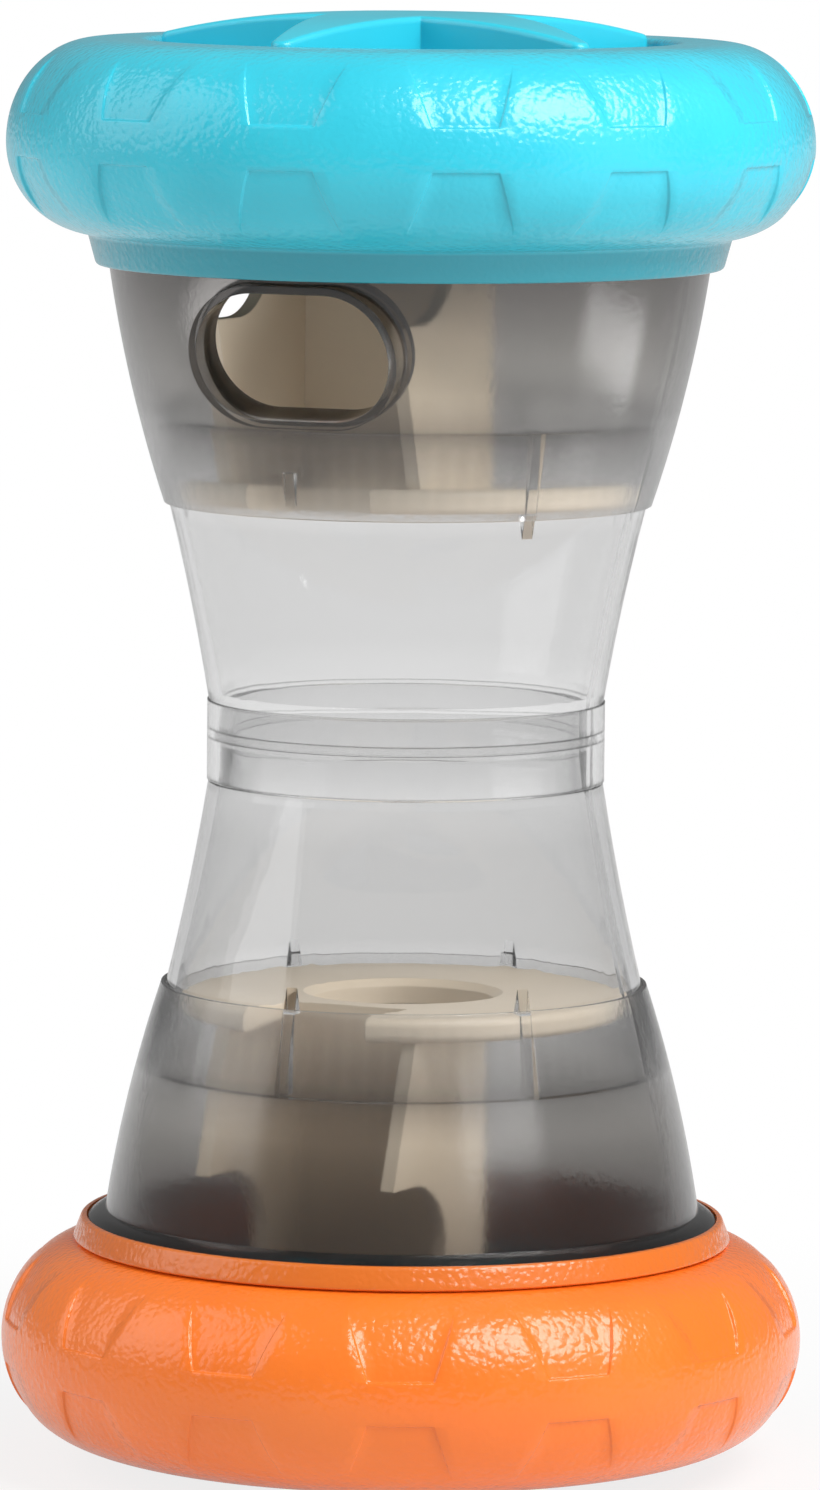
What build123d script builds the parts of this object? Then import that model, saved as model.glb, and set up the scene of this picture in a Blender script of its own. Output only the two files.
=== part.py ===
from build123d import *
from math import asin, cos, degrees, pi, radians, sin, sqrt
import os

# Hourglass dog puzzle feeder, standing upright on its lower hub cap.
# Millimetres, +Z up, origin under the middle of the lower hub cap, treat window of the upper half facing -Y.
# Each half is drawn outwards from the middle of the waist: a profile point is (radius, distance from the waist).
# The upper half is that drawing moved up to the waist, and the lower half is its mirror image.

# Overall
overall_height = 201.0
tyre_diameter = 111.0

# Waist joint, where the collar of the upper bell turns on the neck of the lower bell and pulls off it
neck_wall = 1.6
joint_gap = 0.3
collar_wall = 1.55
collar_above_waist = 6.0
collar_below_waist = 5.2
collar_step = 0.2
collar_seat_gap = 0.2
neck_top_gap = 0.4
gasket_height = 1.0
gasket_groove = 0.6
gasket_gap = 0.15
gasket_above_waist = 1.0

# Clear bells
bell_wall = 1.5
bell_flare = 5.65
bell_sag = 0.3
bell_end_flare = 1.85
bell_window_gap = 0.3
fin_count = 6
fin_phase = -6.0
fin_thickness = 1.6
fin_reach = 3.1
fin_step = 1.5
fin_seat_past_edge = 1.1
fin_before_edge = 4.5
short_fin_before_edge = 1.1
short_fin_past_edge = 6.6
fin_window_angle = 15.0

# Smoke housings
housing_length = 32.6
housing_edge_wall = 0.5
housing_wall = 1.9
housing_bulge = 0.75
housing_flare = 6.55
seat_gap = 0.2
flange_height = 2.8
flange_root = 1.4
upper_flange_reach = 0.9
lower_flange_reach = 2.3
upper_flange_in_lip = 1.0
lower_flange_in_lip = 0.2

# Treat windows, turned about the axis from the front: two in the upper housing and one in the lower
window_width = 28.0
window_height = 17.6
window_rim = 1.1
window_depth = 6.0
window_proud = 0.6
window_lip_gap = 0.4
window_tilt = 12.4
upper_window_turns = (0.0, -120.0)
lower_window_turns = (-153.0,)

# Maze inserts
disc_thickness = 3.5
disc_edge_round = 1.2
disc_gap = 0.3
disc_seat_gap = 0.1
hole_radius = 12.7
hole_chamfer = 1.0
channel_turn = -3.5
channel_half_width = 12.8
channel_wall = 2.0
channel_back = 6.4
upper_shelf_height = 21.7
lower_shelf_height = 19.3
channel_shelf_length = 16.0
channel_arch = 10.0
channel_window_gap = 1.3
notch_half_width = 9.0
notch_depth = 14.0
maze_end_gap = 0.3

# End plates and hub caps
plate_thickness = 3.0
plate_from_equator = 1.3
plate_overhang = 3.5
spigot_depth = 5.0
spigot_wall = 2.0
spigot_gap = 0.15
hub_flange_step = 7.0
hub_flange_thickness = 2.0
hub_proud = 3.7
hub_wall = 2.4
star_arms = 5
star_phase = -7.8
star_tip_gap = 1.2
star_tip_round = 1.6
star_tip_half_angle = 15.0
star_flat_radius = 9.0
star_drop = 3.2
star_edge_round = 0.8

# Tyres
tyre_overhang = 14.2
tyre_section_gap = 1.7
tyre_half_width = 14.1
tyre_waist_half_width = 12.6
tyre_grip_gap = 0.15
lip_reach = 16.8
lip_thickness = 0.9
lip_flare = 1.5
lip_root_rise = 0.4
lip_root_drop = 1.3
lip_round = 0.5
hub_hold = 1.3
tread_count = 14
tread_depth = 0.45
tread_from_middle = 3.0
tread_fade = 1.8
tread_narrow_width = 9.0
tread_wide_width = 14.0
upper_tread_turn = 4.8
lower_tread_turn = -2.7
upper_tread_rise = 1.4
lower_tread_rise = 0.0

# Radii that follow from the tyre's, inwards to the passage through the waist
tyre_radius = tyre_diameter / 2
housing_end_radius = tyre_radius - tyre_overhang
tyre_section_radius = housing_end_radius + tyre_section_gap
plate_radius = housing_end_radius + plate_overhang
hub_flange_radius = plate_radius - hub_flange_step
hub_hold_radius = hub_flange_radius - hub_hold
star_radius = hub_hold_radius - star_tip_gap
bell_end_radius = housing_end_radius - housing_flare
bell_edge_radius = bell_end_radius - bell_end_flare
fin_inner_radius = bell_edge_radius - fin_reach
disc_radius = fin_inner_radius + fin_step - disc_gap
waist_radius = bell_edge_radius - bell_flare
collar_radius = waist_radius + collar_step
collar_bore = collar_radius - collar_wall
neck_radius = collar_bore - joint_gap
passage_radius = neck_radius - neck_wall

# Distances from the waist that follow from the height, inwards from the hub cap's face
waist = overall_height / 2
hub_face = overall_height / 2
tyre_face = hub_face - hub_proud
tyre_equator = tyre_face - tyre_half_width
plate_inner = tyre_equator - plate_from_equator
plate_outer = plate_inner + plate_thickness
hub_flange_top = plate_outer + hub_flange_thickness
lip_end = tyre_equator - lip_reach
window_middle = lip_end - window_lip_gap - window_rim - window_height / 2
bell_end = window_middle - window_height / 2 - window_rim - bell_window_gap
housing_edge = lip_end - housing_length
disc_face = housing_edge + fin_seat_past_edge + disc_seat_gap
disc_back = disc_face + disc_thickness


def face_of_revolution(draw_outline):
    """Turns a closed outline in the radius and height plane into a solid of revolution."""
    with BuildPart() as body:
        with BuildSketch(Plane.XZ):
            with BuildLine():
                draw_outline()
            make_face()
        revolve(axis=Axis.Z)
    return body.part


def bell_arc(arc_start, offset):
    """A bell's curve from its waist end to the housing's edge, moved into its wall by an offset."""
    start = (waist_radius - offset, arc_start + offset)
    end = (bell_edge_radius - offset, housing_edge)
    middle = ((start[0] + end[0]) / 2 - bell_sag, (start[1] + end[1]) / 2)
    return start, middle, end


def wall_radius(distance):
    """The radius of the middle of the bell's wall near the housing's edge, where the fins stand."""
    past_edge = distance - housing_edge
    if past_edge > 0:
        slope = bell_end_flare / (bell_end - housing_edge)
    else:
        slope = bell_flare / (housing_edge - collar_above_waist)
    return bell_edge_radius - bell_wall / 2 + slope * past_edge


def make_fin(seats_disc):
    """A fin on the bell's wall: a blade with a step that seats the disc, or a short one under a window."""
    rim_radius = fin_inner_radius + fin_step
    seat = housing_edge + fin_seat_past_edge
    tip = housing_edge - fin_before_edge
    outline = [(fin_inner_radius, seat), (rim_radius, seat)]
    end = bell_end
    if not seats_disc:
        tip = housing_edge - short_fin_before_edge
        outline = []
        end = housing_edge + short_fin_past_edge
    outline += [(rim_radius, end), (wall_radius(end), end), (wall_radius(housing_edge), housing_edge)]
    with BuildPart() as fin:
        with BuildSketch(Plane.XZ):
            Polygon(*outline, (wall_radius(tip), tip), align=None)
        extrude(amount=fin_thickness / 2, both=True)
    return fin.part


def make_bell(waist_end, arc_start, window_turns):
    """A bell with six fins inside, short ones under the windows; waist_end draws its collar or its neck."""

    def outline():
        outer_start, outer_middle, outer_end = bell_arc(arc_start, 0)
        inner_start, inner_middle, inner_end = bell_arc(arc_start, bell_wall)
        ThreePointArc(outer_start, outer_middle, outer_end)
        Polyline(outer_end, (bell_end_radius, bell_end), (bell_end_radius - bell_wall, bell_end), inner_end)
        ThreePointArc(inner_end, inner_middle, inner_start)
        waist_end(inner_start, outer_start)

    bell = face_of_revolution(outline)
    for index in range(fin_count):
        turn = fin_phase + index * 360 / fin_count
        window_angles = [abs((turn - window_turn + 180) % 360 - 180) for window_turn in window_turns]
        bell += Rot(0, 0, turn - 90) * make_fin(min(window_angles) > fin_window_angle)
    return bell


def collar_end(inner_start, outer_start):
    """The upper bell's collar, with a groove in its bore that holds the gasket."""
    groove_radius = collar_bore + gasket_groove
    groove_low = gasket_above_waist - gasket_gap
    groove_high = gasket_above_waist + gasket_height + gasket_gap
    Polyline(
        inner_start,
        (inner_start[0], collar_above_waist),
        (collar_bore, collar_above_waist),
        (collar_bore, groove_high),
        (groove_radius, groove_high),
        (groove_radius, groove_low),
        (collar_bore, groove_low),
        (collar_bore, collar_seat_gap - collar_below_waist),
        (collar_radius, collar_seat_gap - collar_below_waist),
        (collar_radius, collar_above_waist),
        outer_start,
    )


def neck_end(inner_start, outer_start):
    """The lower bell's shoulder and the neck that stands up inside the collar."""
    neck_top = neck_top_gap - collar_above_waist
    Polyline(
        inner_start,
        (passage_radius, 0),
        (passage_radius, neck_top),
        (neck_radius, neck_top),
        (neck_radius, outer_start[1]),
        outer_start,
    )


def make_gasket():
    """The clear ring that sits in the collar's groove and rubs on the neck."""
    inner_radius = neck_radius + gasket_gap
    outer_radius = collar_bore + gasket_groove - gasket_gap
    ring = Cylinder(outer_radius, gasket_height) - Cylinder(inner_radius, gasket_height)
    return Pos(0, 0, gasket_above_waist + gasket_height / 2) * ring


def housing_radius(distance):
    """The housing's outer radius at a distance from the waist, from its thin edge to the tyre's lip."""
    edge_radius = bell_edge_radius + seat_gap + housing_edge_wall
    share = (distance - housing_edge) / (lip_end - housing_edge)
    return edge_radius + share * (housing_end_radius - edge_radius) + housing_bulge * 4 * share * (1 - share)


def window_place():
    """The plane of the front treat window on the housing's slanted wall, facing outwards."""
    tilt = radians(window_tilt)
    outwards = (0, -cos(tilt), -sin(tilt))
    return Plane(origin=(0, -housing_radius(window_middle), window_middle), x_dir=(1, 0, 0), z_dir=outwards)


def window_tube(width, height, depth, proud):
    """A rounded slot through the window's plane, from its depth inside to where it stands proud."""
    with BuildPart() as tube:
        with BuildSketch(window_place().offset(-depth)):
            SlotOverall(width, height)
        extrude(amount=depth + proud)
    return tube.part


def make_housing(flange_reach, flange_in_lip, window_turns):
    """A smoke housing: a swelling sleeve over the bell's end, a flange for the tyre's lip and its windows."""
    flange_face = lip_end + flange_in_lip
    flange_radius = housing_end_radius + flange_reach

    def outline():
        outer_middle_height = (housing_edge + lip_end) / 2
        outer_start = (housing_radius(housing_edge), housing_edge)
        outer_middle = (housing_radius(outer_middle_height), outer_middle_height)
        outer_end = (housing_end_radius, lip_end)
        bore_start = (bell_edge_radius + seat_gap, housing_edge)
        bore_end = (bell_end_radius + seat_gap, bell_end)
        inner_middle_height = (bell_end + lip_end) / 2
        inner_middle = (housing_radius(inner_middle_height) - housing_wall, inner_middle_height)
        inner_end = (housing_end_radius - housing_wall, lip_end)
        ThreePointArc(outer_start, outer_middle, outer_end)
        Polyline(
            outer_end,
            (housing_end_radius, plate_inner),
            (housing_end_radius - housing_wall, plate_inner),
            inner_end,
        )
        ThreePointArc(inner_end, inner_middle, bore_end)
        Polyline(bore_end, bore_start, outer_start)

    def flange_outline():
        root = housing_end_radius - housing_wall / 2
        Polyline(
            (root, flange_face - flange_root),
            (root, flange_face + flange_height),
            (flange_radius, flange_face + flange_height),
            (flange_radius, flange_face),
        )
        RadiusArc((flange_radius, flange_face), (root, flange_face - flange_root), 2 * flange_height)

    housing = face_of_revolution(outline) + face_of_revolution(flange_outline)
    rim_width = window_width + 2 * window_rim
    rim_height = window_height + 2 * window_rim
    rim = window_tube(rim_width, rim_height, window_depth, window_proud)
    hole = window_tube(window_width, window_height, 2 * window_depth, 2 * window_depth)
    for turn in window_turns:
        housing = housing + Rot(0, 0, turn) * rim - Rot(0, 0, turn) * hole
    return housing


def make_maze_disc():
    """The round floor of a maze insert, with a rounded rim, a chamfered hole and a notch over the channel."""
    radius = disc_radius

    def outline():
        Polyline((hole_radius + hole_chamfer, disc_face), (radius - disc_edge_round, disc_face))
        RadiusArc((radius - disc_edge_round, disc_face), (radius, disc_face + disc_edge_round), -disc_edge_round)
        Line((radius, disc_face + disc_edge_round), (radius, disc_back - disc_edge_round))
        RadiusArc((radius, disc_back - disc_edge_round), (radius - disc_edge_round, disc_back), -disc_edge_round)
        Polyline(
            (radius - disc_edge_round, disc_back),
            (hole_radius, disc_back),
            (hole_radius, disc_face + hole_chamfer),
            (hole_radius + hole_chamfer, disc_face),
        )

    notch = Pos(0, -radius, disc_face) * Box(2 * notch_half_width, 2 * notch_depth, 4 * disc_thickness)
    return face_of_revolution(outline) - notch


def make_maze(shelf_height):
    """A maze insert: the disc, and under its notch a channel of two arched side walls and a back wall."""
    outer_half_width = channel_half_width + channel_wall
    maze_end = plate_inner - maze_end_gap
    shelf = disc_back + shelf_height
    root = disc_back - disc_thickness / 2
    notch_back = disc_radius - notch_depth
    wall_end = housing_radius(window_middle) - window_depth - channel_window_gap
    wall_start = sqrt(disc_radius**2 - outer_half_width**2) - disc_edge_round
    step = wall_end - channel_shelf_length
    with BuildPart() as side_wall:
        with BuildSketch(Plane.YZ):
            with BuildLine():
                Polyline(
                    (-step - channel_arch, shelf),
                    (-wall_end, shelf),
                    (-wall_start, disc_back),
                    (-wall_start, root),
                    (-notch_back, root),
                    (-notch_back, disc_back),
                    (-channel_back, disc_back),
                    (-channel_back, maze_end),
                    (-step, maze_end),
                    (-step, shelf + channel_arch),
                )
                RadiusArc((-step, shelf + channel_arch), (-step - channel_arch, shelf), channel_arch)
            make_face()
        extrude(amount=channel_wall)
    back_height = maze_end - disc_back
    back_wall = Pos(0, -channel_back + channel_wall / 2, disc_back + back_height / 2) * Box(
        2 * outer_half_width, channel_wall, back_height
    )
    maze = make_maze_disc() + back_wall
    maze += Pos(channel_half_width, 0, 0) * side_wall.part
    maze += Pos(-outer_half_width, 0, 0) * side_wall.part
    return Rot(0, 0, channel_turn) * maze


def make_end_plate():
    """An end plate: a disc behind the tyre with a spigot that plugs the housing's open end."""
    spigot_radius = housing_end_radius - housing_wall - spigot_gap

    def outline():
        Polyline(
            (0, plate_inner),
            (spigot_radius - spigot_wall, plate_inner),
            (spigot_radius - spigot_wall, plate_inner - spigot_depth),
            (spigot_radius, plate_inner - spigot_depth),
            (spigot_radius, plate_inner),
            (plate_radius, plate_inner),
            (plate_radius, plate_outer),
            (0, plate_outer),
            close=True,
        )

    return face_of_revolution(outline)


def star_face(inset):
    """The five-armed star of the hub cap with rounded tips, drawn in by an inset."""
    half_angle = radians(star_tip_half_angle)
    half_spacing = pi / star_arms
    sharp_tip_radius = star_radius + star_tip_round * (1 / sin(half_angle) - 1)
    valley_radius = sharp_tip_radius * sin(half_angle) / sin(half_angle + half_spacing)
    points = []
    for arm in range(star_arms):
        tip = radians(star_phase - 90) + arm * 2 * half_spacing
        valley = tip + half_spacing
        points.append((sharp_tip_radius * cos(tip), sharp_tip_radius * sin(tip)))
        points.append((valley_radius * cos(valley), valley_radius * sin(valley)))
    star = Polygon(*points, align=None)
    if inset > 0:
        return offset(star, -inset, kind=Kind.INTERSECTION)
    tips = star.vertices().sort_by_distance((0, 0))[-star_arms:]
    return fillet(tips, star_tip_round)


def make_hub_cap():
    """A hollow hub cap: a round flange under the tyre's inner edge and a domed star that stands proud."""

    def crown_outline(drop):
        edge_height = hub_face - star_drop - drop
        Polyline((0, hub_face - drop), (0, plate_outer), (hub_flange_radius, plate_outer))
        Polyline((hub_flange_radius, plate_outer), (hub_flange_radius, edge_height), (star_radius, edge_height))
        dome_middle = (star_radius + star_flat_radius) / 2
        dome_height = hub_face - drop - star_drop / 4
        ThreePointArc((star_radius, edge_height), (dome_middle, dome_height), (star_flat_radius, hub_face - drop))
        Line((star_flat_radius, hub_face - drop), (0, hub_face - drop))

    crown_height = hub_face - plate_outer
    star = Pos(0, 0, plate_outer) * extrude(star_face(0), amount=crown_height)
    star = star & face_of_revolution(lambda: crown_outline(0))
    shoulder = plate_outer + crown_height / 2
    crown_edges = star.edges().filter_by(lambda edge: (edge @ 0).Z > shoulder and (edge @ 1).Z > shoulder)
    star = fillet(crown_edges, star_edge_round)
    core = Pos(0, 0, plate_outer) * extrude(star_face(hub_wall), amount=crown_height)
    core = core & face_of_revolution(lambda: crown_outline(hub_wall))
    flange = Pos(0, 0, plate_outer + hub_flange_thickness / 2) * Cylinder(hub_flange_radius, hub_flange_thickness)
    return star + flange - core


def tread_recess(half_width, rise):
    """One shallow trapezoid recess at the tyre's front, on the side of the equator where half_width points."""
    side = half_width / abs(half_width)
    middle = tyre_equator + rise
    floor_width = tyre_radius - tread_depth - tyre_section_radius
    tread_reach = tyre_waist_half_width - tread_fade

    def floor_outline():
        centre = (tyre_section_radius, tyre_equator)
        floor_arc = EllipticalCenterArc(centre, floor_width, abs(half_width), min(0, 90 * side), arc_size=90)
        Polyline(floor_arc @ 1, (0, (floor_arc @ 1).Y), (0, (floor_arc @ 0).Y), floor_arc @ 0)

    with BuildPart() as wedge:
        with BuildSketch(Plane.XZ.offset(tyre_section_radius)):
            Polygon(
                (-tread_narrow_width / 2, middle + side * tread_from_middle),
                (tread_narrow_width / 2, middle + side * tread_from_middle),
                (tread_wide_width / 2, tyre_equator + side * tread_reach),
                (-tread_wide_width / 2, tyre_equator + side * tread_reach),
                align=None,
            )
        extrude(amount=tyre_radius - tyre_section_radius + tread_depth)
    return wedge.part - face_of_revolution(floor_outline)


def make_tyre(flange_reach, flange_in_lip, tread_turn, tread_rise):
    """A soft tyre: an oval section over the housing's end, a lip on its flange and an inner edge on the hub cap."""
    grip_radius = housing_end_radius + flange_reach + tyre_grip_gap
    bore_radius = housing_end_radius + tyre_grip_gap
    flange_high = lip_end + flange_in_lip + flange_height + tyre_grip_gap
    groove_radius = plate_radius + tyre_grip_gap
    lip_radius = grip_radius + lip_thickness
    section_width = tyre_radius - tyre_section_radius
    root_angle = degrees(asin(1 - lip_root_rise / tyre_waist_half_width))

    def outline():
        centre = (tyre_section_radius, tyre_equator)
        outer_swell = EllipticalCenterArc(centre, section_width, tyre_half_width, 0, arc_size=90)
        waist_swell = EllipticalCenterArc(centre, section_width, tyre_waist_half_width, -root_angle, arc_size=root_angle)
        root = waist_swell @ 0
        Polyline(
            outer_swell @ 1,
            (hub_hold_radius, tyre_face),
            (hub_hold_radius, hub_flange_top + tyre_grip_gap),
            (hub_flange_radius + tyre_grip_gap, hub_flange_top + tyre_grip_gap),
            (hub_flange_radius + tyre_grip_gap, plate_outer + tyre_grip_gap),
            (groove_radius, plate_outer + tyre_grip_gap),
            (groove_radius, plate_inner - tyre_grip_gap),
            (bore_radius, plate_inner - tyre_grip_gap),
            (bore_radius, flange_high),
            (grip_radius, flange_high),
            (grip_radius, lip_end),
            (lip_radius - lip_round, lip_end),
            (lip_radius, lip_end + lip_round),
            (lip_radius + lip_flare, root.Y - lip_root_drop),
            root,
        )

    tyre = face_of_revolution(outline)
    recesses = [tread_recess(half_width, tread_rise) for half_width in (tyre_half_width, -tyre_waist_half_width)]
    turns = [tread_turn + index * 360 / tread_count for index in range(tread_count)]
    return tyre - [Rot(0, 0, turn) * recess for turn in turns for recess in recesses]


def upper(shape):
    """Moves a half's drawing up to the waist."""
    return Pos(0, 0, waist) * shape


def lower(shape):
    """Mirrors a half's drawing and moves it up to the waist."""
    return Pos(0, 0, waist) * mirror(shape, about=Plane.XY)


pieces = {
    "upper_bell": upper(make_bell(collar_end, collar_above_waist, upper_window_turns)),
    "lower_bell": lower(make_bell(neck_end, collar_below_waist, lower_window_turns)),
    "neck_gasket": upper(make_gasket()),
    "upper_housing": upper(make_housing(upper_flange_reach, upper_flange_in_lip, upper_window_turns)),
    "lower_housing": lower(make_housing(lower_flange_reach, lower_flange_in_lip, lower_window_turns)),
    "upper_maze": upper(make_maze(upper_shelf_height)),
    "lower_maze": lower(make_maze(lower_shelf_height)),
    "upper_end_plate": upper(make_end_plate()),
    "lower_end_plate": lower(make_end_plate()),
    "upper_hub_cap": upper(make_hub_cap()),
    "lower_hub_cap": lower(make_hub_cap()),
    "upper_tyre": upper(make_tyre(upper_flange_reach, upper_flange_in_lip, upper_tread_turn, upper_tread_rise)),
    "lower_tyre": lower(make_tyre(lower_flange_reach, lower_flange_in_lip, lower_tread_turn, lower_tread_rise)),
}

os.makedirs("parts", exist_ok=True)
for name, piece in pieces.items():
    export_step(piece, f"parts/{name}.step")
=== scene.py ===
from math import asin, cos, pi, radians, sin, sqrt

import bpy
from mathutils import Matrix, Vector


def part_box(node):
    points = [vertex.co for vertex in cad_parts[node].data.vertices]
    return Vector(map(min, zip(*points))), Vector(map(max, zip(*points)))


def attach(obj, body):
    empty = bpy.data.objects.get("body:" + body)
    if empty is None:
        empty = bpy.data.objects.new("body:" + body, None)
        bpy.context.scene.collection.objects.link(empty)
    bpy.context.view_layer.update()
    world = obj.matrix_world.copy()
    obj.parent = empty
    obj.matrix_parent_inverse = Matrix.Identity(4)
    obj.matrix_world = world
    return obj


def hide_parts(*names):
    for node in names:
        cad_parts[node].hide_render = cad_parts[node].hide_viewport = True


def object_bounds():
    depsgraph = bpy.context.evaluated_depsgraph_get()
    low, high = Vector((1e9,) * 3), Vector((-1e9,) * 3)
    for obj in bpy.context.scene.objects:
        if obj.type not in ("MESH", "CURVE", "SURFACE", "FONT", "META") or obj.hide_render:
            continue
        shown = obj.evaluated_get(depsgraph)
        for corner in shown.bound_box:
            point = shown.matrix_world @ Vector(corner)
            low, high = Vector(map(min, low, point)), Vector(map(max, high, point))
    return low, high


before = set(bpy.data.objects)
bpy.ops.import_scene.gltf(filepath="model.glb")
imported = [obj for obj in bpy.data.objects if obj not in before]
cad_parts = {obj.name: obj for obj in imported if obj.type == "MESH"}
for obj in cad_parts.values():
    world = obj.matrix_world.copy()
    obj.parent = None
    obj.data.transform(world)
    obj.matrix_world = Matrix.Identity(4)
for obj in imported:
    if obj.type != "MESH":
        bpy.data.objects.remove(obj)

cad_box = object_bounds()

# The two bells are clear funnels that meet at the waist, each with six fins that carry a maze disc.
# They are injection moulded in polycarbonate with a faint grey cast, in one piece with the collar or neck.
mm = 0.001
halves = ("upper", "lower")
waist = (cad_box[0].z + cad_box[1].z) / 2 / mm
farthest_tone = 66.0
shell_edge_round = 0.25


def linear(colour):
    """An sRGB hex colour as linear red, green, blue and full alpha."""
    parts = [int(colour[i : i + 2], 16) / 255 for i in (1, 3, 5)]
    return [c / 12.92 if c <= 0.04045 else ((c + 0.055) / 1.055) ** 2.4 for c in parts] + [1.0]


def add_node(tree, kind, settings=(), links=()):
    """Adds a shader node. Settings go to its attributes or sockets by name, and links feed its sockets."""
    node = tree.nodes.new("ShaderNode" + kind)
    for name, value in dict(settings).items():
        if isinstance(name, str) and hasattr(node, name):
            setattr(node, name, value)
        else:
            node.inputs[name].default_value = value
    for name, source in dict(links).items():
        tree.links.new(source, node.inputs[name])
    return node


def new_material(name):
    """A material with an empty node tree, its output node and its place coordinates in metres."""
    material = bpy.data.materials.new(name)
    material.use_nodes = True
    tree = material.node_tree
    tree.nodes.clear()
    output = add_node(tree, "OutputMaterial")
    place = add_node(tree, "TexCoord").outputs["Object"]
    return material, tree, output, place


def clear_plastic(name, colour, cast, darkening, roughness, ior, wave_size, wave_height):
    """See-through moulded plastic with slow waves, in millimetres, and a darkening per millimetre of depth.

    Shadow and diffuse rays pass straight through it, so that the lamps reach what lies inside.
    """
    material, tree, output, place = new_material(name)
    waves = add_node(tree, "TexNoise", {"Scale": 1 / (wave_size * mm), "Detail": 2.0}, {"Vector": place})
    edge = add_node(tree, "Bevel", {"samples": 4, "Radius": shell_edge_round * mm})
    bump = add_node(
        tree,
        "Bump",
        {"Distance": wave_height * mm},
        {"Height": waves.outputs["Fac"], "Normal": edge.outputs["Normal"]},
    )
    surface = add_node(
        tree,
        "BsdfPrincipled",
        {"Base Color": linear(colour), "Roughness": roughness, "IOR": ior, "Transmission Weight": 1.0},
        {"Normal": bump.outputs["Normal"]},
    )
    passing = add_node(tree, "BsdfTransparent", {"Color": linear("#FAFAFA")})
    path = add_node(tree, "LightPath")
    lit = add_node(
        tree,
        "Math",
        {"operation": "MAXIMUM"},
        {0: path.outputs["Is Shadow Ray"], 1: path.outputs["Is Diffuse Ray"]},
    )
    mixed = add_node(
        tree, "MixShader", links={0: lit.outputs[0], 1: surface.outputs[0], 2: passing.outputs[0]}
    )
    tree.links.new(mixed.outputs[0], output.inputs["Surface"])
    depth = add_node(tree, "VolumeAbsorption", {"Color": linear(cast), "Density": darkening / mm})
    tree.links.new(depth.outputs[0], output.inputs["Volume"])
    return material, tree, surface, place


def from_waist(tree, place):
    """Distance from the waist along the axis, in metres."""
    height = add_node(tree, "SeparateXYZ", links={0: place}).outputs["Z"]
    height = add_node(tree, "Math", {"operation": "SUBTRACT", 1: waist * mm}, {0: height}).outputs[0]
    return add_node(tree, "Math", {"operation": "ABSOLUTE"}, {0: height}).outputs[0]


def toned(tree, distance, tones):
    """A colour that runs through tones, each given with its distance from the waist in millimetres."""
    along = add_node(tree, "MapRange", {"From Max": farthest_tone * mm}, {"Value": distance})
    ramp = add_node(tree, "ValToRGB", links={"Fac": along.outputs["Result"]})
    for element, (at, tone) in zip(ramp.color_ramp.elements, (tones[0], tones[-1])):
        element.position = at / farthest_tone
        element.color = linear(tone)
    for at, tone in tones[1:-1]:
        ramp.color_ramp.elements.new(at / farthest_tone).color = linear(tone)
    return ramp.outputs["Color"]


def finish_node(name, material):
    """Gives a CAD node its finish."""
    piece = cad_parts[name]
    piece.data.materials.clear()
    piece.data.materials.append(material)


# Clear polycarbonate, moulded: a grey that gathers at the walls' edges, sharp gloss and slow mould waves.
# The lower bell is the same plastic, darkened more than the upper one as painted shade.
bell_darkening_and_painted_shade = {"upper": 0.06, "lower": 0.095}
bell_tones = (
    (0, "#FCFCFC"),
    (8, "#FAFAFA"),
    (12, "#F3F3F3"),
    (31, "#F1F1F1"),
    (35, "#FFFFFF"),
    (66, "#FFFFFF"),
)
for half in halves:
    clear_polycarbonate, tree, surface, place = clear_plastic(
        f"clear_polycarbonate_moulded_{half}",
        colour="#FFFFFF",
        cast="#2A2A2C",
        darkening=bell_darkening_and_painted_shade[half],
        roughness=0.02,
        ior=1.45,
        wave_size=9,
        wave_height=0.02,
    )
    tree.links.new(toned(tree, from_waist(tree, place), bell_tones), surface.inputs["Base Color"])
    finish_node(f"{half}_bell", clear_polycarbonate)

# The gasket is a thin silicone ring in the collar's groove, which drags on the neck when the halves turn.
# It is moulded in clear silicone and is pressed in by hand.
# Clear silicone, satin: a soft gloss and hardly any grey, so the ring shows as a faint line.
clear_silicone = clear_plastic(
    "clear_silicone_satin",
    colour="#FAFAFA",
    cast="#808080",
    darkening=0.05,
    roughness=0.2,
    ior=1.41,
    wave_size=3,
    wave_height=0.01,
)[0]
finish_node("neck_gasket", clear_silicone)

# The maze inserts are single mouldings in cream ABS: a disc with a hole, and a channel behind its notch.
# Each one drops into its half and rests on the bell's fins.
moulding_edge_round = 0.35
moulding_drift_size = 25
spark_grain_size = 0.5
spark_grain_height = 0.02


def shaded(tree, place, drift_size, colour, shade, spread):
    """A colour that drifts to a darker shade and back over about drift_size millimetres."""
    drift = add_node(tree, "TexNoise", {"Scale": 1 / (drift_size * mm), "Detail": 2.0}, {"Vector": place})
    ramp = add_node(tree, "ValToRGB", links={"Fac": drift.outputs["Fac"]})
    for element, at, tone in zip(ramp.color_ramp.elements, (0.5 - spread, 0.5 + spread), (shade, colour)):
        element.position = at
        element.color = linear(tone)
    return ramp.outputs["Color"]


def moulded_plastic(name, colour, shade, roughness, grain_size, grain_height):
    """Solid moulded plastic: a slight drift between two shades and a grain, sized in millimetres."""
    material, tree, output, place = new_material(name)
    grain = add_node(tree, "TexNoise", {"Scale": 1 / (grain_size * mm), "Detail": 3.0}, {"Vector": place})
    edge = add_node(tree, "Bevel", {"samples": 4, "Radius": moulding_edge_round * mm})
    bump = add_node(
        tree,
        "Bump",
        {"Distance": grain_height * mm},
        {"Height": grain.outputs["Fac"], "Normal": edge.outputs["Normal"]},
    )
    surface = add_node(
        tree,
        "BsdfPrincipled",
        {"Roughness": roughness, "IOR": 1.54},
        {
            "Base Color": shaded(tree, place, moulding_drift_size, colour, shade, spread=0.15),
            "Normal": bump.outputs["Normal"],
        },
    )
    tree.links.new(surface.outputs[0], output.inputs["Surface"])
    return material


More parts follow.
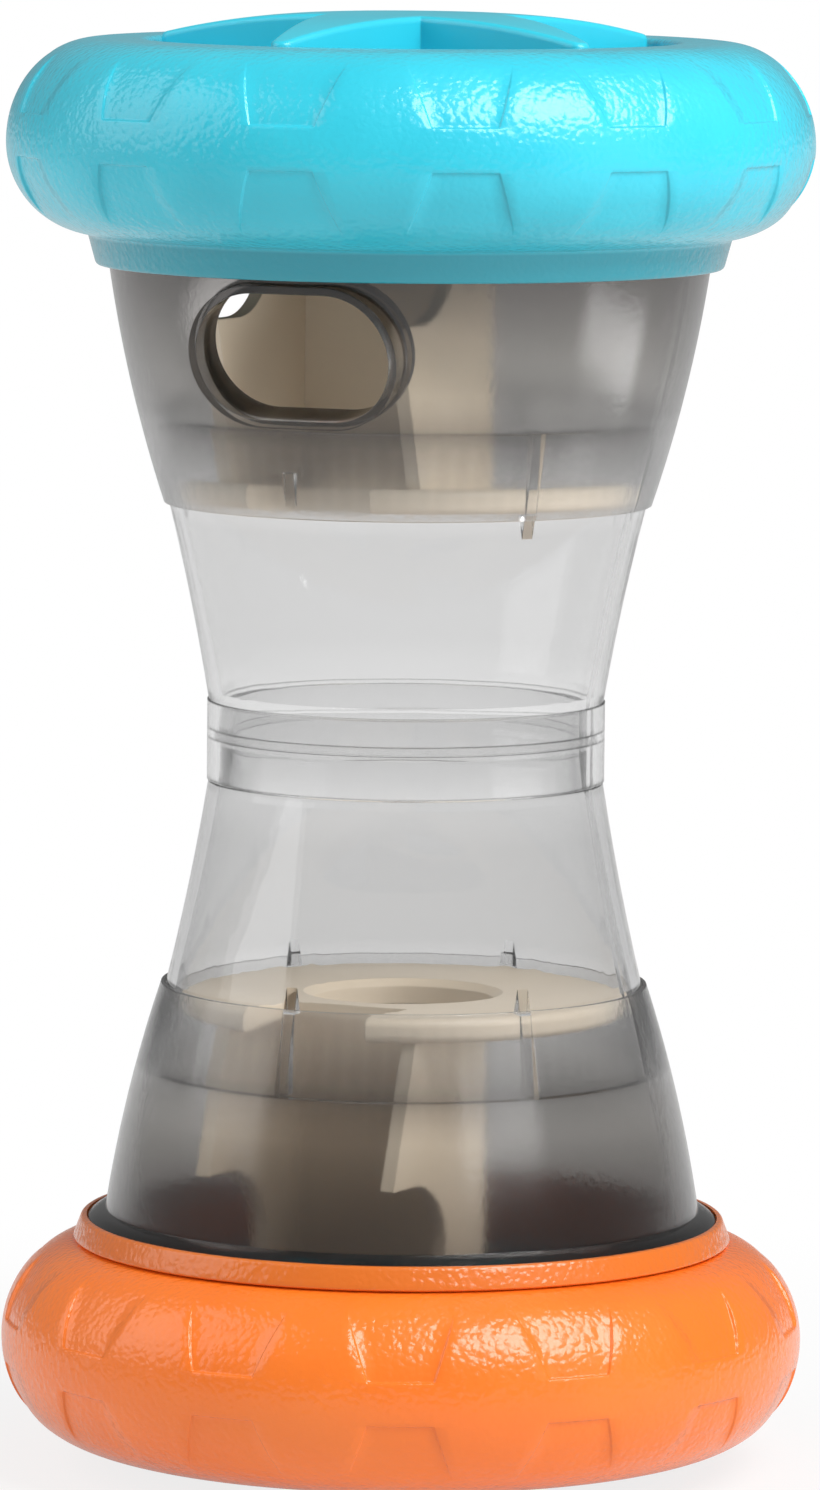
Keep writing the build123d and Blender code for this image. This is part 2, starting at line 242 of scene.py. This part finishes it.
# Cream ABS from a sparked mould: a satin skin with a fine grain, warm where its walls light each other.
# A real spark grain is about a tenth of a millimetre, too fine to show, so it is drawn coarser.
cream_abs = moulded_plastic(
    "cream_abs_sparked",
    colour="#EADBC5",
    shade="#E4D4BC",
    roughness=0.42,
    grain_size=spark_grain_size,
    grain_height=spark_grain_height,
)
for half in halves:
    finish_node(f"{half}_maze", cream_abs)

# The housings are smoke-tinted polycarbonate sleeves over the bells' ends, with rimmed treat windows.
# They are moulded thin at the waist end and thick at the tyre end, and welded to the bells.
housing_edge = 33.3
housing_edge_radius = 35.2
housing_end = 66.0
housing_end_radius = 41.3
duct_start = 2.0
duct_full = 2.6
duct_wall_from_edge = 2.0
duct_wall_below_rim = 0.3
sleeve_facing = 0.8
duct_wall_facing = 0.6

# Smoke polycarbonate: a warm grey that deepens towards the tyre, frosted enough to blur what lies deep
# inside, with a fine peel that frays reflections.
smoke_tones = (
    (33.3, "#FFFFFF"),
    (43, "#FCFBFA"),
    (47, "#D8D6D4"),
    (54, "#C2C0BD"),
    (61, "#ADAAA8"),
    (66, "#A09D9B"),
)
smoke_polycarbonate, tree, surface, place = clear_plastic(
    "smoke_polycarbonate_moulded",
    colour="#A09D9B",
    cast="#3C3A38",
    darkening=0.06,
    roughness=0.16,
    ior=1.5,
    wave_size=0.9,
    wave_height=0.02,
)

# Painted shade darkens the windows' ducts: what lies deeper than the sleeve, and walls square to it.
distance = from_waist(tree, place)
outside = add_node(
    tree,
    "MapRange",
    {
        "From Min": housing_edge * mm,
        "From Max": housing_end * mm,
        "To Min": housing_edge_radius * mm,
        "To Max": housing_end_radius * mm,
    },
    {"Value": distance},
)
level = add_node(tree, "VectorMath", {"operation": "MULTIPLY", 1: (1, 1, 0)}, {0: place})
radius = add_node(tree, "VectorMath", {"operation": "LENGTH"}, {0: level.outputs["Vector"]})
inwards = add_node(
    tree, "Math", {"operation": "SUBTRACT"}, {0: outside.outputs["Result"], 1: radius.outputs["Value"]}
)
deep = add_node(
    tree, "MapRange", {"From Min": duct_start * mm, "From Max": duct_full * mm}, {"Value": inwards.outputs[0]}
)
outwards = add_node(tree, "VectorMath", {"operation": "NORMALIZE"}, {0: level.outputs["Vector"]})
normal = add_node(tree, "TexCoord").outputs["Normal"]
facing = add_node(
    tree, "VectorMath", {"operation": "DOT_PRODUCT"}, {0: normal, 1: outwards.outputs["Vector"]}
)
facing = add_node(tree, "Math", {"operation": "ABSOLUTE"}, {0: facing.outputs["Value"]})
square = add_node(
    tree, "MapRange", {"From Min": sleeve_facing, "From Max": duct_wall_facing}, {"Value": facing.outputs[0]}
)
past_edge = add_node(
    tree, "Math", {"operation": "GREATER_THAN", 1: (housing_edge + duct_wall_from_edge) * mm}, {0: distance}
)
below_rim = add_node(
    tree, "MapRange", {"From Max": duct_wall_below_rim * mm}, {"Value": inwards.outputs[0]}
)
wall = square.outputs["Result"]
for limit in (past_edge.outputs[0], below_rim.outputs["Result"]):
    wall = add_node(tree, "Math", {"operation": "MULTIPLY"}, {0: wall, 1: limit}).outputs[0]
duct_painted_shade = add_node(tree, "Math", {"operation": "MAXIMUM"}, {0: deep.outputs["Result"], 1: wall})
# Mixes the painted duct shade, a near-black warm grey, into the smoke tones.
smoke_with_painted_duct_shade = add_node(
    tree,
    "Mix",
    {"data_type": "RGBA", 7: linear("#3E3A38")},
    {0: duct_painted_shade.outputs[0], 6: toned(tree, distance, smoke_tones)},
)
tree.links.new(smoke_with_painted_duct_shade.outputs[2], surface.inputs["Base Color"])
for half in halves:
    finish_node(f"{half}_housing", smoke_polycarbonate)

# The end plates are dark grey ABS lids that plug the housings and carry the hub caps and tyres.
# Each is moulded with a spigot and pressed into the housing's end.
# Slate grey ABS from a sparked mould: a dull, even, cool grey.
slate_abs = moulded_plastic(
    "slate_grey_abs_sparked",
    colour="#303C42",
    shade="#2B363C",
    roughness=0.5,
    grain_size=spark_grain_size,
    grain_height=spark_grain_height,
)
for half in halves:
    finish_node(f"{half}_end_plate", slate_abs)

# The hub caps are five-armed stars, turquoise above and orange below, which fill the tyres' middles.
# They are moulded in ABS, and the tyre's inner edge holds them down on the end plate.
# Polished ABS: an even colour with a soft, clean gloss over a faint ripple.
hub_colours = {
    "upper": ("turquoise_abs_polished", "#34CCE2", "#30C7DD"),
    "lower": ("orange_abs_polished", "#FC7F22", "#F87A1E"),
}
for half in halves:
    polished_abs = moulded_plastic(*hub_colours[half], roughness=0.28, grain_size=0.8, grain_height=0.01)
    finish_node(f"{half}_hub_cap", polished_abs)

# The tyres are soft thermoplastic rubber rings with two rows of shallow trapezoid recesses for tread.
# They are moulded in one piece and stretched over the housing's flange, the end plate and the hub cap.
tyre_half_width = 14.1
tyre_waist_half_width = {"upper": 12.6, "lower": 13.6}
tyre_section_width = 12.5
tyre_grip_gap = 0.15
tyre_edge_round = 0.9
flange_reach = {"upper": 0.9, "lower": 2.3}
flange_depth = {"upper": 3.95, "lower": 3.15}
plate_thickness = 3.0
hub_flange_thickness = 2.0
hub_hold = 1.3
lip_thickness = 0.9
lip_crease_flare = 1.0
lip_crease_drop = 0.15
lip_root_rise = 0.12
lip_root_share = 1 / 8
lip_round = 0.5
tread_count = 14
tread_from_middle = 3.0
tread_run = 7.8
tread_narrow_width = 9.0
tread_wide_width = 14.0
tread_wall = 0.35
tread_face_depth = 0.3
tread_waist_depth = 0.5
tread_fade_start = 0.6
tread_face_fade_end = 1.1
tread_waist_fade_end = 1.15
tread_turns = {"upper": 4.8, "lower": -2.7}
tread_rises = {"upper": 1.4, "lower": 0.0}

# The mesh's steps along the section and round the ring. Rows nearer the axis than column_radius keep the
# column angles of that radius, so that the recesses' sides don't spread there.
column_radius = 46
swell_steps = 40
face_steps = 6
edge_steps = 5
root_steps = 6
side_steps = 4
land_steps = 4
recess_steps = 6
wall_steps = (-1, -0.5, 0, 0.5, 1)
sharp_corner = 50


def node_reach(name):
    """A node's radius, and its least and greatest distance from the waist, in millimetres."""
    low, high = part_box(name)
    distances = sorted(abs(corner.z / mm - waist) for corner in (low, high))
    return high.x / mm, distances[0], distances[1]


def smooth_step(low, high, value):
    """Rises smoothly from 0 at low to 1 at high."""
    share = min(1, max(0, (value - low) / (high - low)))
    return share * share * (3 - 2 * share)


def rounded(start, corner, end, steps):
    """Points of a curve from start to end that rounds off a corner, without its two ends."""
    points = []
    for t in [step / steps for step in range(1, steps)]:
        weights = ((1 - t) ** 2, 2 * t * (1 - t), t * t)
        triples = zip(start, corner, end)
        points.append(tuple(sum(w * v for w, v in zip(weights, values)) for values in triples))
    return points


def between(start, end, share):
    """The point at a share of the way from start to end."""
    return tuple(a + (b - a) * share for a, b in zip(start, end))


def tyre_section(half):
    """Points (radius, distance from the waist, distance from the equator or None) round a tyre's section."""
    radius, lip_end, face = node_reach(f"{half}_tyre")
    plate_radius, _, plate_outer = node_reach(f"{half}_end_plate")
    hub_radius = node_reach(f"{half}_hub_cap")[0]
    grip = node_reach(f"{half}_housing")[0] + tyre_grip_gap
    bore = grip - flange_reach[half]
    hold = hub_radius - hub_hold
    groove = plate_radius + tyre_grip_gap
    plate_inner = plate_outer - plate_thickness - tyre_grip_gap
    hub_bottom = plate_outer + tyre_grip_gap
    hub_top = plate_outer + hub_flange_thickness + tyre_grip_gap
    equator = face - tyre_half_width
    middle = radius - tyre_section_width

    edge_start = (hold, face - tyre_edge_round)
    edge_end = (hold + tyre_edge_round, face)
    inner_edge = [(hold, hub_top), edge_start]
    inner_edge += rounded(edge_start, (hold, face), edge_end, edge_steps)
    inner_edge += [between(edge_end, (middle, face), step / face_steps) for step in range(face_steps)]

    swell = []
    waist_half_width = tyre_waist_half_width[half]
    root_angle = asin(1 - lip_root_rise / waist_half_width)
    for end_angle, half_width in ((pi / 2, tyre_half_width), (-root_angle, waist_half_width)):
        start_line = tread_rises[half] + (tread_from_middle if end_angle > 0 else -tread_from_middle)
        acrosses = [half_width * sin(end_angle * step / swell_steps) for step in range(swell_steps + 1)]
        acrosses = [across for across in acrosses if abs(across - start_line) > tread_wall]
        acrosses += [start_line + tread_wall / 2 * step for step in wall_steps]
        for across in acrosses:
            reach = tyre_section_width * sqrt(1 - (across / half_width) ** 2)
            swell.append((middle + reach, equator + across, across))
    swell = sorted(set(swell), key=lambda point: -point[2])

    root = swell[-1][:2]
    lip = grip + lip_thickness
    lip_top = (lip + lip_crease_flare, root[1] - lip_crease_drop)
    lip_edge = (lip, lip_end + lip_round)
    lip_side = between(lip_top, lip_edge, lip_root_share)
    lip_corner = (lip - lip_round / 3, lip_end)
    lip_foot = (lip - lip_round, lip_end)
    skirt = rounded(root, lip_top, lip_side, root_steps) + [lip_side]
    skirt += [between(lip_side, lip_edge, step / side_steps) for step in range(1, side_steps + 1)]
    skirt += rounded(lip_edge, lip_corner, lip_foot, side_steps) + [lip_foot]

    inside = [
        (grip, lip_end),
        (grip, lip_end + flange_depth[half]),
        (bore, lip_end + flange_depth[half]),
        (bore, plate_inner),
        (groove, plate_inner),
        (groove, hub_bottom),
        (hub_radius + tyre_grip_gap, hub_bottom),
        (hub_radius + tyre_grip_gap, hub_top),
    ]
    return [(*point, None) for point in inner_edge] + swell + [(*point, None) for point in skirt + inside]


def recess_at(across, rise):
    """How wide a tread recess is, and how deep, at a distance across the tread from the equator."""
    from_row = abs(across - rise) - tread_from_middle
    share = min(1, max(0, from_row / tread_run))
    width = tread_narrow_width + share * (tread_wide_width - tread_narrow_width)
    depth = tread_face_depth
    fade_end = tread_face_fade_end
    if across < rise:
        depth += share * (tread_waist_depth - tread_face_depth)
        fade_end = tread_waist_fade_end
    start = smooth_step(-tread_wall / 2, tread_wall / 2, from_row)
    return width, start * depth * (1 - smooth_step(tread_fade_start, fade_end, from_row / tread_run))


def sector_columns(width, row_radius):
    """Angles across one tread sector, each with how far it is sunk: land, wall, recess, wall and land."""
    half_sector = pi / tread_count
    half_angle = width / 2 / row_radius
    wall_angle = tread_wall / 2 / row_radius
    inner = half_angle - wall_angle
    outer = half_angle + wall_angle
    land = half_sector - outer
    columns = [(-half_sector + land * step / land_steps, 0) for step in range(land_steps)]
    columns += [(-half_angle + wall_angle * step, smooth_step(-1, 1, step)) for step in wall_steps]
    columns += [(-inner + 2 * inner * step / recess_steps, 1) for step in range(1, recess_steps)]
    columns += [(half_angle + wall_angle * step, smooth_step(-1, 1, -step)) for step in wall_steps]
    return columns + [(outer + land * step / land_steps, 0) for step in range(1, land_steps)]


def build_tyre(half):
    """The tyre's mesh: section rows by columns that follow the slanted sides of the recesses."""
    side = 1 if half == "upper" else -1
    section = tyre_section(half)
    vertices = []
    for index, (radius, distance, across) in enumerate(section):
        before = section[index - 1]
        after = section[(index + 1) % len(section)]
        along = Vector((after[0] - before[0], after[1] - before[1])).normalized()
        outwards = Vector((-along.y, along.x))
        width, depth = (tread_wide_width, 0) if across is None else recess_at(across, tread_rises[half])
        columns = sector_columns(width, max(radius, column_radius))
        for count in range(tread_count):
            middle = radians(tread_turns[half]) + count * 2 * pi / tread_count
            for offset, sunk in columns:
                r = radius - outwards.x * depth * sunk
                d = distance - outwards.y * depth * sunk
                angle = middle + offset
                vertices.append((r * sin(angle) * mm, -r * cos(angle) * mm, (waist + side * d) * mm))
    around = len(vertices) // len(section)
    faces = []
    for row in range(len(section)):
        below = (row + 1) % len(section)
        for column in range(around):
            beside = (column + 1) % around
            corners = [(row, column), (row, beside), (below, beside), (below, column)]
            corners = [at_row * around + at_column for at_row, at_column in corners]
            faces.append(corners if side < 0 else corners[::-1])
    mesh = bpy.data.meshes.new(f"{half}_tyre_rubber")
    mesh.from_pydata(vertices, [], faces)
    mesh.polygons.foreach_set("use_smooth", [True] * len(faces))
    mesh.set_sharp_from_angle(angle=radians(sharp_corner))
    piece = bpy.data.objects.new(f"{half}_tyre_rubber", mesh)
    bpy.context.scene.collection.objects.link(piece)
    return piece


# Thermoplastic rubber from a textured mould: a full, even colour whose gloss breaks up into leathery flecks.
# The grain is pillows about a millimetre wide with bent creases between them, at their real size.
# The thin lip is painted darker than the rest of the tyre, as painted shade.
rubber_drift_size = 18
grain_size = 0.95
grain_bend_size = 1.8
grain_bend = 1.2
grain_body_height = 0.03
grain_skin_height = 0.13
lip_shade_blend = 0.4
# The last colour of each tyre is the lip's painted shade.
tyre_rubbers = {
    "upper": ("turquoise_rubber_grained", "#34CCE2", "#2CC4DB", "#249CAE"),
    "lower": ("orange_rubber_grained", "#FC7F22", "#F8771C", "#DE701C"),
}


def grained_rubber(name, colour, shade, lip_painted_shade, lip_root):
    """Moulded rubber with a leathery grain, and painted shade on the lip, nearer the waist than lip_root."""
    material, tree, output, place = new_material(name)
    # Painted shade: the lip zone, nearer the waist than lip_root, takes the darker lip colour.
    lip_shade_fade = add_node(
        tree,
        "MapRange",
        {"From Min": (lip_root - lip_shade_blend) * mm, "From Max": (lip_root + lip_shade_blend) * mm},
        {"Value": from_waist(tree, place)},
    )
    with_lip_shade = add_node(
        tree,
        "Mix",
        {"data_type": "RGBA", 6: linear(lip_painted_shade)},
        {0: lip_shade_fade.outputs["Result"], 7: shaded(tree, place, rubber_drift_size, colour, shade, spread=0.2)},
    )
    bend = add_node(tree, "TexNoise", {"Scale": 1 / (grain_bend_size * mm), "Detail": 2.0}, {"Vector": place})
    bent = add_node(
        tree,
        "VectorMath",
        {"operation": "MULTIPLY_ADD", 1: [grain_bend * mm] * 3},
        {0: bend.outputs["Color"], 2: place},
    )
    pillows = add_node(
        tree,
        "TexVoronoi",
        {"feature": "SMOOTH_F1", "Scale": 1 / (grain_size * mm), "Smoothness": 0.35},
        {"Vector": bent.outputs["Vector"]},
    )
    height = pillows.outputs["Distance"]
    body = add_node(tree, "Bump", {"invert": True, "Distance": grain_body_height * mm}, {"Height": height})
    skin = add_node(tree, "Bump", {"invert": True, "Distance": grain_skin_height * mm}, {"Height": height})
    surface = add_node(
        tree,
        "BsdfPrincipled",
        {
            "Roughness": 0.45,
            "IOR": 1.5,
            "Specular IOR Level": 0.2,
            "Coat Weight": 1.0,
            "Coat Roughness": 0.22,
        },
        {
            "Base Color": with_lip_shade.outputs[2],
            "Normal": body.outputs["Normal"],
            "Coat Normal": skin.outputs["Normal"],
        },
    )
    tree.links.new(surface.outputs[0], output.inputs["Surface"])
    return material


for half in halves:
    tyre = build_tyre(half)
    lip_root = node_reach(f"{half}_tyre")[2] - tyre_half_width - tyre_waist_half_width[half]
    tyre.data.materials.append(grained_rubber(*tyre_rubbers[half], lip_root))
    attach(tyre, f"{half}_half")
    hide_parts(f"{half}_tyre")

# The stage is one wide floor with a matt pale paint, so that no edge or horizon shows.
# It looks white away from the feeder, and keeps the soft shadow round its foot.
floor_size = 40
shadow_start = 0.05
shadow_end = 0.22
shadow_white = 0.82
mirrored_white = 0.5
floor_mesh = bpy.data.meshes.new("floor")
floor_corners = [(x * floor_size, y * floor_size, 0) for x, y in ((-1, -1), (1, -1), (1, 1), (-1, 1))]
floor_mesh.from_pydata(floor_corners, [], [(0, 1, 2, 3)])
floor = bpy.data.objects.new("floor", floor_mesh)
bpy.context.scene.collection.objects.link(floor)

# Matt white paint: white to the camera and through the clear shells, half as bright in reflections.
floor_paint, tree, output, place = new_material("matt_white_floor")
away = add_node(tree, "VectorMath", {"operation": "LENGTH"}, {0: place})
fade = add_node(
    tree,
    "MapRange",
    {
        "interpolation_type": "SMOOTHSTEP",
        "From Min": shadow_start,
        "From Max": shadow_end,
        "To Min": shadow_white,
        "To Max": 1.0,
    },
    {"Value": away.outputs["Value"]},
)
path = add_node(tree, "LightPath")
mirrored = path.outputs["Is Glossy Ray"]
gloss = add_node(tree, "Math", {"operation": "MULTIPLY", 1: mirrored_white}, {0: mirrored})
seen = path.outputs["Is Camera Ray"]
for other in (gloss.outputs[0], path.outputs["Is Transmission Ray"]):
    seen = add_node(tree, "Math", {"operation": "MAXIMUM"}, {0: seen, 1: other}).outputs[0]
share = add_node(tree, "Math", {"operation": "MULTIPLY"}, {0: seen, 1: fade.outputs["Result"]})
matt = add_node(tree, "BsdfDiffuse", {"Color": linear("#E6E6E6")})
white = add_node(tree, "Emission", {"Color": linear("#FFFFFF")})
mixed = add_node(tree, "MixShader", links={0: share.outputs[0], 1: matt.outputs[0], 2: white.outputs[0]})
tree.links.new(mixed.outputs[0], output.inputs["Surface"])
floor_mesh.materials.append(floor_paint)

# The light is a dim pale room with a softbox high on the right and a wider, weaker one on the left.
# Low fills lift the sides without a reflection. Some lamps are flagged: the right softbox stays off the clear
# bells, one fill reaches only the mazes, and each housing alone mirrors a small card of its own.
world = bpy.data.worlds.new("pale_room")
bpy.context.scene.world = world
world.use_nodes = True
tree = world.node_tree
tree.nodes.clear()
path = add_node(tree, "LightPath")
seen = add_node(
    tree,
    "Math",
    {"operation": "MAXIMUM"},
    {0: path.outputs["Is Camera Ray"], 1: path.outputs["Is Transmission Ray"]},
)
room = add_node(tree, "Background", {"Color": linear("#FFFFFF"), "Strength": 0.25})
behind = add_node(tree, "Background", {"Color": linear("#FFFFFF"), "Strength": 1.0})
mixed = add_node(tree, "MixShader", links={0: seen.outputs[0], 1: room.outputs[0], 2: behind.outputs[0]})
output = add_node(tree, "OutputWorld", links={"Surface": mixed.outputs[0]})

camera_azimuth = 23.0
aim = Vector((0, 0, 0.10015))


def softbox(name, azimuth, elevation, size, power, distance=0.9, lights=True, reflected=True):
    """A rectangular lamp that faces the feeder. Its azimuth is counted to the right of the camera."""
    lamp = bpy.data.lights.new(name, "AREA")
    lamp.shape = "RECTANGLE"
    lamp.size, lamp.size_y = size
    lamp.energy = power
    turn = radians(camera_azimuth + azimuth)
    rise = radians(elevation)
    away = Vector((sin(turn) * cos(rise), -cos(turn) * cos(rise), sin(rise)))
    box = bpy.data.objects.new(name, lamp)
    box.visible_camera = False
    box.visible_diffuse = lights
    box.visible_glossy = reflected
    box.visible_transmission = reflected
    box.location = aim + away * distance
    box.rotation_euler = (-away).to_track_quat("-Z", "Y").to_euler()
    bpy.context.scene.collection.objects.link(box)
    return box


def flag(box, names, state):
    """Lets a lamp reach only the named nodes, or all but them."""
    receivers = bpy.data.collections.new(f"{box.name}_receivers")
    for name in names:
        receivers.objects.link(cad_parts[name])
    for member in receivers.collection_objects:
        member.light_linking.link_state = state
    box.light_linking.receiver_collection = receivers


fill_size = (0.5, 0.4)
right_softbox = softbox("right_softbox", azimuth=48, elevation=49, size=(0.6, 0.5), power=8.0)
softbox("left_softbox", azimuth=-83, elevation=32, size=(0.75, 0.8), power=2.8)
softbox("right_fill", azimuth=60, elevation=10, size=fill_size, power=2.2, reflected=False)
softbox("left_fill", azimuth=-95, elevation=10, size=fill_size, power=0.9, reflected=False)
maze_fill = softbox("maze_fill", azimuth=68, elevation=8, size=fill_size, power=4.0, reflected=False)
low_card = softbox(
    "low_card", azimuth=86, elevation=-6.8, size=(0.17, 0.037), power=0.075, distance=0.3, lights=False
)
front_card = softbox("front_card", azimuth=42, elevation=15, size=(0.55, 0.16), power=0.8, lights=False)
flag(right_softbox, ("upper_bell", "lower_bell"), "EXCLUDE")
flag(maze_fill, ("upper_maze", "lower_maze"), "INCLUDE")
flag(low_card, ("upper_housing",), "INCLUDE")
flag(front_card, ("lower_housing",), "INCLUDE")

# The camera stands to the right of the front window and a little above the feeder, with a long lens.
# It is rolled by half a degree and aimed a hair beside the axis. Light may bounce often enough to cross
# every wall of the clear shells.
camera_distance = 1.25
camera_height = 0.2379
camera_roll = 0.5
axis_offset = 0.58
shell_bounces = 24
lens = bpy.data.cameras.new("camera")
lens.lens = 220.0
lens.sensor_width = 36.0
camera = bpy.data.objects.new("camera", lens)
turn = radians(camera_azimuth)
camera.location = (camera_distance * sin(turn), -camera_distance * cos(turn), camera_height)
sideways = Vector((cos(turn), sin(turn), 0)) * axis_offset * mm
camera.rotation_euler = (aim + sideways - camera.location).to_track_quat("-Z", "Y").to_euler()
camera.rotation_euler.rotate_axis("Z", radians(camera_roll))
bpy.context.scene.collection.objects.link(camera)
bpy.context.scene.camera = camera
bpy.context.scene.view_settings.view_transform = "Standard"
bpy.context.scene.cycles.max_bounces = shell_bounces
bpy.context.scene.cycles.transmission_bounces = shell_bounces
bpy.context.scene.cycles.transparent_max_bounces = shell_bounces
